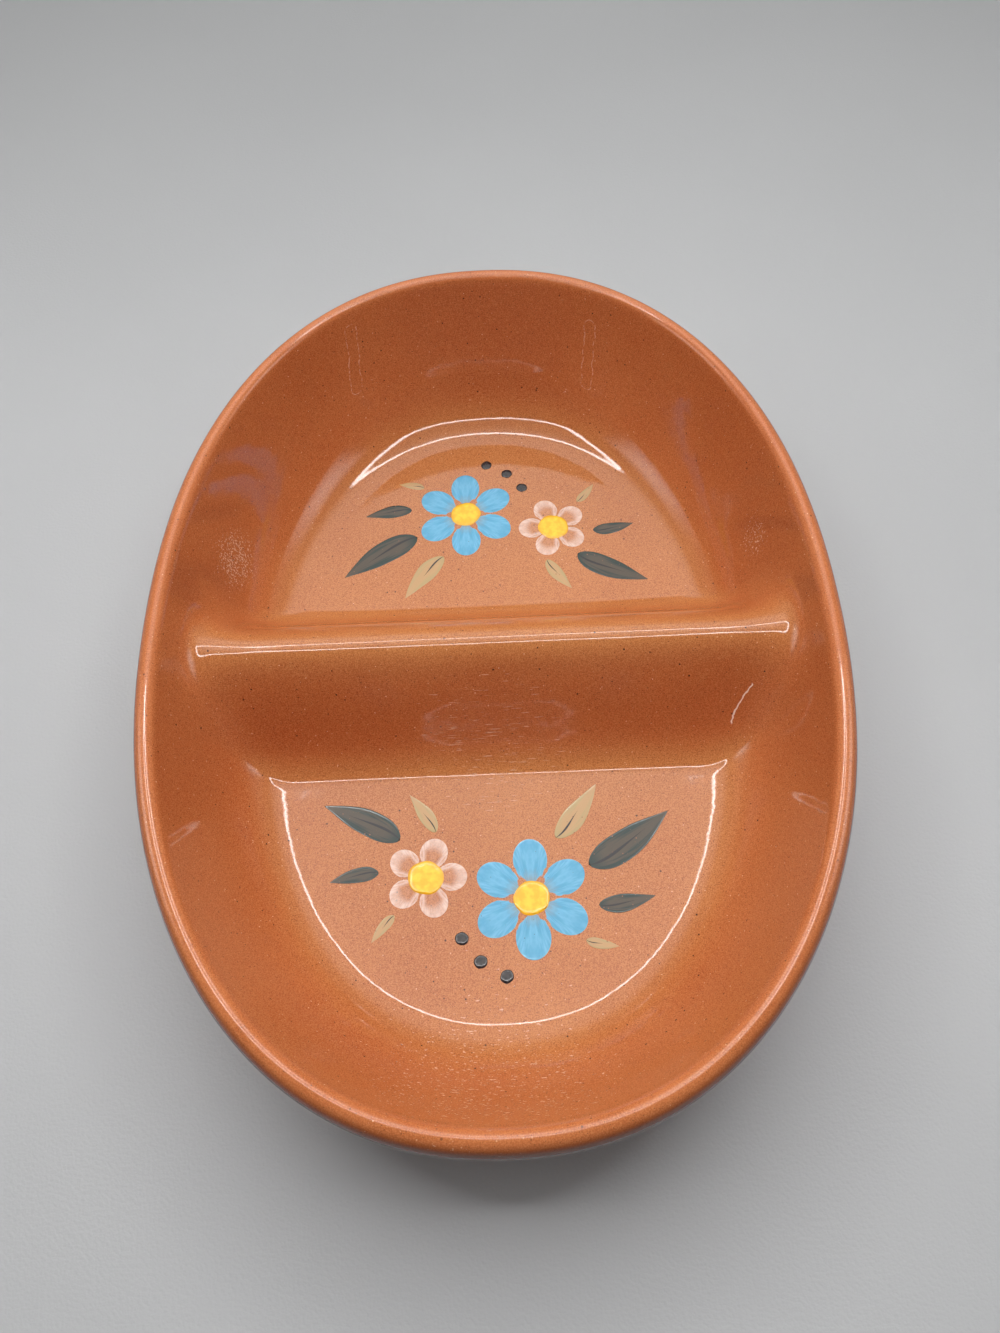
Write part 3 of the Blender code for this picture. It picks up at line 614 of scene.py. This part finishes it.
white_enamel = white.finish(white_colour, white.ramp(streak, 0.3, 0.7, 0.06, 0.12), normal)
for side in SIDES:
    rings, uv = blossom_rings(WHITE_AT, WHITE_RADIUS, WHITE_PETALS, side)
    petals = new_piece(f"{side}_white_petals", rings, uv)
    dress(petals, white_enamel, "white_enamel", f"{side}_white_blossom")

# Yellow eyes
# A round dab of thick yellow enamel in the middle of each blossom, set down over the petals with a
# full brush, so that it stands a little proud of them.
EYE_RADIUS, EYE_RISE, DAB_POINTS = 0.0057, 0.0004, 64


def dab_rings(at, radius, rise, phase, side):
    """A round dab, a little out of true by two waves, domed with the square root of 1 -
    radius^4."""
    angle = np.linspace(0, 2 * math.pi, DAB_POINTS, endpoint=False)
    share, above = disc_shares()
    uneven = 1 + 0.035 * np.sin(2 * angle + phase) + 0.02 * np.sin(5 * angle + 2 * phase)
    z = np.where(above > 0, PAINT / 2 + rise * np.sqrt(1 - share**4), 0.0) + 0 * angle
    rings = on_floor(at + (radius * share * uneven)[..., None] * ring_of(angle), z, side)
    return rings, np.stack(np.broadcast_arrays(share, angle / (2 * math.pi)), axis=-1)


YELLOW_DEEP, YELLOW_PALE = (0.90, 0.50, 0.012), (0.95, 0.66, 0.03)
YELLOW_EDGE, DIMPLE_DEPTH = (0.80, 0.36, 0.012), 0.0001
yellow, along, _, normal = enamel("yellow_enamel")
dabbed = yellow.noise(420, 3)
yellow_colour = yellow.blend(yellow.ramp(dabbed, 0.35, 0.65), YELLOW_DEEP, YELLOW_PALE)
yellow_rim = yellow.ramp(along, 0.7, 1.0, 0.0, 0.6)
yellow_colour = yellow.blend(yellow_rim, yellow_colour, YELLOW_EDGE)
yellow_gloss = yellow.ramp(dabbed, 0.3, 0.7, 0.08, 0.18)
dimples = yellow.bump(dabbed, DIMPLE_DEPTH, normal)
yellow_enamel = yellow.finish(yellow_colour, yellow_gloss, dimples)
for side in SIDES:
    for flower, at, phase in (("blossom", BLUE_AT, 0.7), ("white_blossom", WHITE_AT, 2.1)):
        eye = new_piece(f"{side}_{flower}_dab", *dab_rings(at, EYE_RADIUS, EYE_RISE, phase, side))
        dress(eye, yellow_enamel, "yellow_enamel", f"{side}_{flower}_eye")

# Leaves
# A fan of four beyond each blossom, two dark green and two tan, each one bent stroke of the brush.
# The colour gathers along the edges and is washed out inside, and a dark vein is drawn over it.
LEAF_LENGTH, LEAF_WIDTH, LEAF_BEND, SPRAY_MARGIN = 0.0322, 0.0104, 0.16, 0.003
LEAF_RINGS, LEAF_POINTS = 41, 32
LEAF_SPECK, LEAF_VEIN = (0.30, 0.12, 0.06), (0.018, 0.015, 0.016)
# Each leaf: where it starts around its blossom and where it heads, in degrees.
OUTER_FAN = ((140, 158), (172, 178), (208, 203), (246, 222))
INNER_FAN = ((-102, -66), (-56, -36), (-8, 0), (50, 40))
LEAF_SLOTS = ("tan_enamel", "dark_green_enamel", "dark_green_enamel", "tan_enamel")


def room(at, heading):
    """How far the bare floor runs from a point along a heading, within its oval and off the
    divider."""
    reach = np.linspace(0, FLOOR_LENGTH, 801)
    x, y = (at + (0, MIDDLE) + reach[:, None] * ring_of(heading)).T
    half_width, half_length = FLOOR_WIDTH / 2 - SPRAY_MARGIN, FLOOR_LENGTH / 2 - SPRAY_MARGIN
    oval = np.abs(x / half_width) ** OVAL_POWER + np.abs(y / half_length) ** OVAL_POWER
    return reach[(oval < 1) & (y > BAND_Y + SPRAY_MARGIN)].max()


def leaf_rings(base, heading, side):
    """A flattened tube along a parabola. Its half width is a sine of the length's 0.7th power,
    and its section is flat on top with edges that fall off by the sixth power. It is made smaller
    where the floor has no room for it."""
    tip_heading = heading + math.atan(LEAF_BEND)
    size = min(1.0, *(room(base, turn) / LEAF_LENGTH for turn in (heading, tip_heading)))
    along = np.linspace(0, 1, LEAF_RINGS)[:, None]
    turn = np.linspace(0, 2 * math.pi, LEAF_POINTS, endpoint=False)[None, :]
    swell = np.clip(np.sin(math.pi * along**0.7), 0, 1) ** 0.9
    across = np.cos(turn) * (1 + 0.03 * np.sin(11 * along + 9 * heading))
    ahead = ring_of(heading)
    aside = np.array([-ahead[1], ahead[0]])
    sideways = LEAF_BEND * LEAF_LENGTH * along**2 + LEAF_WIDTH / 2 * swell * across
    forward = LEAF_LENGTH * along + 0 * turn
    points = base + size * (forward[..., None] * ahead + sideways[..., None] * aside)
    edge = np.sqrt(1 - np.cos(turn) ** 6) * swell**0.3
    rings = on_floor(points, np.where(np.sin(turn) > 0, PAINT, -PAINT_SUNK) * edge, side)
    return rings, np.stack(np.broadcast_arrays(along, np.cos(turn)), axis=-1)


def leaf_enamel(name, edge_colour, wash_colour, vein_end):
    """A wash that gathers to a deeper colour at the edges and the stem, with a thin dark vein that
    leans across the stroke and ends at a share of its length."""
    paint, along, across, normal = enamel(name)
    streak = paint.noise(1, 4, (2.5, 5, 1), paint.uv)
    aside = paint.maths("ABSOLUTE", across)
    gather = paint.maths("ADD", aside, paint.ramp(streak, 0.3, 0.7, -0.3, 0.3))
    gather = paint.maths("MAXIMUM", paint.ramp(gather, 0.35, 0.9), paint.ramp(along, 0.22, 0.02))
    colour = paint.blend(gather, wash_colour, edge_colour)
    colour = paint.blend(paint.ramp(along, 0.7, 1.0, 0.0, 0.55), colour, wash_colour)
    colour = paint.blend(paint.specks(650, 0.2), colour, LEAF_SPECK)
    course = paint.ramp(along, 0.0, vein_end, 0.22, -0.12)
    lean = paint.maths("ABSOLUTE", paint.maths("ADD", across, course))
    width = paint.ramp(along, vein_end * 0.3, vein_end, 0.13, 0.0)
    vein = paint.ramp(lean, width, paint.maths("MULTIPLY", width, 0.6))
    vein = paint.maths("MULTIPLY", vein, paint.ramp(along, vein_end, vein_end * 0.9))
    colour = paint.blend(vein, colour, LEAF_VEIN)
    return paint.finish(colour, paint.ramp(streak, 0.3, 0.7, 0.06, 0.13), normal)


GREEN_EDGE, GREEN_WASH, GREEN_VEIN_END = (0.015, 0.034, 0.028), (0.080, 0.062, 0.040), 0.75
TAN_EDGE, TAN_WASH, TAN_VEIN_END = (0.46, 0.34, 0.15), (0.53, 0.33, 0.15), 0.55
LEAF_ENAMELS = {
    "dark_green_enamel": leaf_enamel("dark_green_enamel", GREEN_EDGE, GREEN_WASH, GREEN_VEIN_END),
    "tan_enamel": leaf_enamel("tan_enamel", TAN_EDGE, TAN_WASH, TAN_VEIN_END),
}
for side in SIDES:
    for fan, at, radius, turns in (
        ("outer", BLUE_AT, BLOSSOM_RADIUS, OUTER_FAN),
        ("inner", WHITE_AT, WHITE_RADIUS, INNER_FAN),
    ):
        for i, (slot, (start, heading)) in enumerate(zip(LEAF_SLOTS, np.radians(turns)), 1):
            base = at + (radius + STROKE_GAP) * ring_of(start)
            leaf = new_piece(f"{side}_{fan}_brush_leaf_{i}", *leaf_rings(base, heading, side))
            dress(leaf, LEAF_ENAMELS[slot], slot, f"{side}_{fan}_leaf_{i}")

# Berries
# Three dots of brown-black enamel in an arc beside each blue blossom, set down with the tip of the
# brush and fired on with the other strokes.
BERRIES, BERRY_RADIUS, BERRY_RISE = 3, 0.0021, 0.0003
BERRY_START, BERRY_STEP = 70, 21
BLACK_DEEP, BLACK_PALE = (0.016, 0.013, 0.014), (0.040, 0.028, 0.026)
BERRY_REACH = BLOSSOM_RADIUS + 2 * STROKE_GAP + BERRY_RADIUS
black, _, _, normal = enamel("black_enamel")
dabbed = black.noise(900, 3)
black_colour = black.blend(black.ramp(dabbed, 0.35, 0.7), BLACK_DEEP, BLACK_PALE)
black_enamel = black.finish(black_colour, black.ramp(dabbed, 0.3, 0.7, 0.08, 0.16), normal)
for side in SIDES:
    for i in range(BERRIES):
        at = BLUE_AT + BERRY_REACH * ring_of(math.radians(BERRY_START - BERRY_STEP * i))
        rings, uv = dab_rings(at, BERRY_RADIUS, BERRY_RISE, i, side)
        berry = new_piece(f"{side}_berry_dot_{i + 1}", rings, uv)
        dress(berry, black_enamel, "black_enamel", f"{side}_berry_{i + 1}")

# Table
# A plain pale grey sheet of paper that lies flat under the bowl and runs out of the picture on all
# sides. It is only the stage, and no part of the bowl.
SHEET_HALF, PAPER_ROUGHNESS, PAPER_DEPTH = 5.0, 0.55, 0.0001
PAPER_DEEP, PAPER_PALE = (0.455, 0.46, 0.465), (0.49, 0.495, 0.50)
corners = SHEET_HALF * np.array([[-1, -1, 0], [1, -1, 0], [1, 1, 0], [-1, 1, 0]])
sheet_mesh = bpy.data.meshes.new("sheet")
sheet_mesh.from_pydata(corners, [], [(0, 1, 2, 3)])
sheet = bpy.data.objects.new("sheet", sheet_mesh)
bpy.context.scene.collection.objects.link(sheet)
paper = Finish("grey_paper")
paper_colour = paper.blend(paper.ramp(paper.noise(3, 3), 0.3, 0.7), PAPER_DEEP, PAPER_PALE)
paper_tooth = paper.bump(paper.noise(900, 2), PAPER_DEPTH)
sheet_mesh.materials.append(paper.finish(paper_colour, PAPER_ROUGHNESS, paper_tooth))

# Light
# A soft surround, dim in front and brightest high up behind the bowl, with three soft panels: one
# over the bowl that is brightest in a band along its edges, and one at either side.
SKY_UP, SKY_BACK = 0.866, 0.5
DIM_SKY, BRIGHT_SKY, FRONT_SKY, SEEN_SKY = 0.28, 1.7, 0.15, 0.5
world = bpy.data.worlds.new("surround")
world.use_nodes = True
sky = Nodes(world.node_tree)
_, sky_y, sky_z = sky.split(sky.tree.nodes.new("ShaderNodeTexCoord").outputs["Generated"])
sky_parts = [sky.maths("MULTIPLY", *part) for part in ((sky_z, SKY_UP), (sky_y, SKY_BACK))]
sky_level = sky.maths("ADD", *sky_parts)
background = sky.tree.nodes["Background"].inputs
background["Color"].default_value = (1, 1, 1, 1)
high_glow = sky.ramp(sky_level, 0.75, 0.97, DIM_SKY, BRIGHT_SKY)
sky_glow = sky.maths("MULTIPLY", high_glow, sky.ramp(sky_y, -0.3, 0.2, FRONT_SKY, 1.0))
seen = sky.tree.nodes.new("ShaderNodeLightPath").outputs["Is Camera Ray"]
strength = sky.add("MapRange", {0: seen, 3: sky_glow, 4: SEEN_SKY}).outputs[0]
sky.join(strength, background["Strength"])
bpy.context.scene.world = world

PANEL_POWER, BAND_START, BAND_END, PANEL_WATTS = 5.0, 0.78, 0.88, 4


def soft_panel(name, size, glow, edge_glow, fade):
    """An area lamp. Its glow follows the reach from its middle, the fifth root of |x|^5 + |y|^5 in
    half sizes: it rises to an edge glow in a band, and falls off from a fade to nothing at 1."""
    data = bpy.data.lights.new(name, "AREA")
    data.shape, (data.size, data.size_y) = "RECTANGLE", size
    data.energy = PANEL_WATTS * size[0] * size[1]
    data.use_nodes = True
    nodes = Nodes(data.node_tree)
    place = nodes.split(nodes.tree.nodes.new("ShaderNodeNewGeometry").outputs["Parametric"])
    offsets = [nodes.maths("ABSOLUTE", nodes.maths("SUBTRACT", share, 0.5)) for share in place[:2]]
    halves = [nodes.maths("MULTIPLY", offset, 2.0) for offset in offsets]
    powers = [nodes.maths("POWER", half, PANEL_POWER) for half in halves]
    reach = nodes.maths("POWER", nodes.maths("ADD", *powers), 1 / PANEL_POWER)
    band = nodes.ramp(reach, BAND_START, BAND_END, glow, edge_glow)
    strength = nodes.maths("MULTIPLY", band, nodes.ramp(reach, 1.0, fade))
    nodes.join(strength, nodes.tree.nodes["Emission"].inputs["Strength"])
    lamp = bpy.data.objects.new(name, data)
    bpy.context.scene.collection.objects.link(lamp)
    return lamp


TOP_SIZE, TOP_GLOW, TOP_EDGE_GLOW, TOP_FADE = (0.43, 0.27), 0.35, 13.9, 0.92
SIDE_SIZE, SIDE_GLOW, SIDE_FADE, SIDE_TILT = (0.50, 0.50), 2.0, 0.1, math.radians(60)
TOP_AT, SIDE_AT = (-0.005, 0.045, 0.45), (0.62, 0.05, 0.40)
top_lamp = soft_panel("top_panel", TOP_SIZE, TOP_GLOW, TOP_EDGE_GLOW, TOP_FADE)
top_lamp.location = TOP_AT
for way, end in ((-1, "left"), (1, "right")):
    side_lamp = soft_panel(f"{end}_panel", SIDE_SIZE, SIDE_GLOW, SIDE_GLOW, SIDE_FADE)
    side_lamp.location = (way * SIDE_AT[0], *SIDE_AT[1:])
    side_lamp.rotation_euler = (0, way * SIDE_TILT, 0)

# Camera
# A close view with a wide lens, from above the front of the bowl and turned a little to one side.
# It was fitted to the outlines of the rim and the floor in the photograph.
LENS, SENSOR = 25.926, 36.0
CAMERA_AT = (0.00546, -0.15319, 0.31726)
camera_data = bpy.data.cameras.new("camera")
camera_data.sensor_width, camera_data.lens = SENSOR, LENS
camera_data.clip_start = 0.01
camera = bpy.data.objects.new("camera", camera_data)
ahead = np.array([-0.01028, 0.46612, -0.88466])
up = np.array([0.04118, 0.88415, 0.46538])
right = np.cross(ahead, up)
turned = np.eye(4)
turned[:3] = np.column_stack([right, up, -ahead, CAMERA_AT])
camera.matrix_world = Matrix(turned.tolist())
bpy.context.scene.collection.objects.link(camera)
bpy.context.scene.camera = camera
bpy.context.scene.view_settings.view_transform = "Standard"
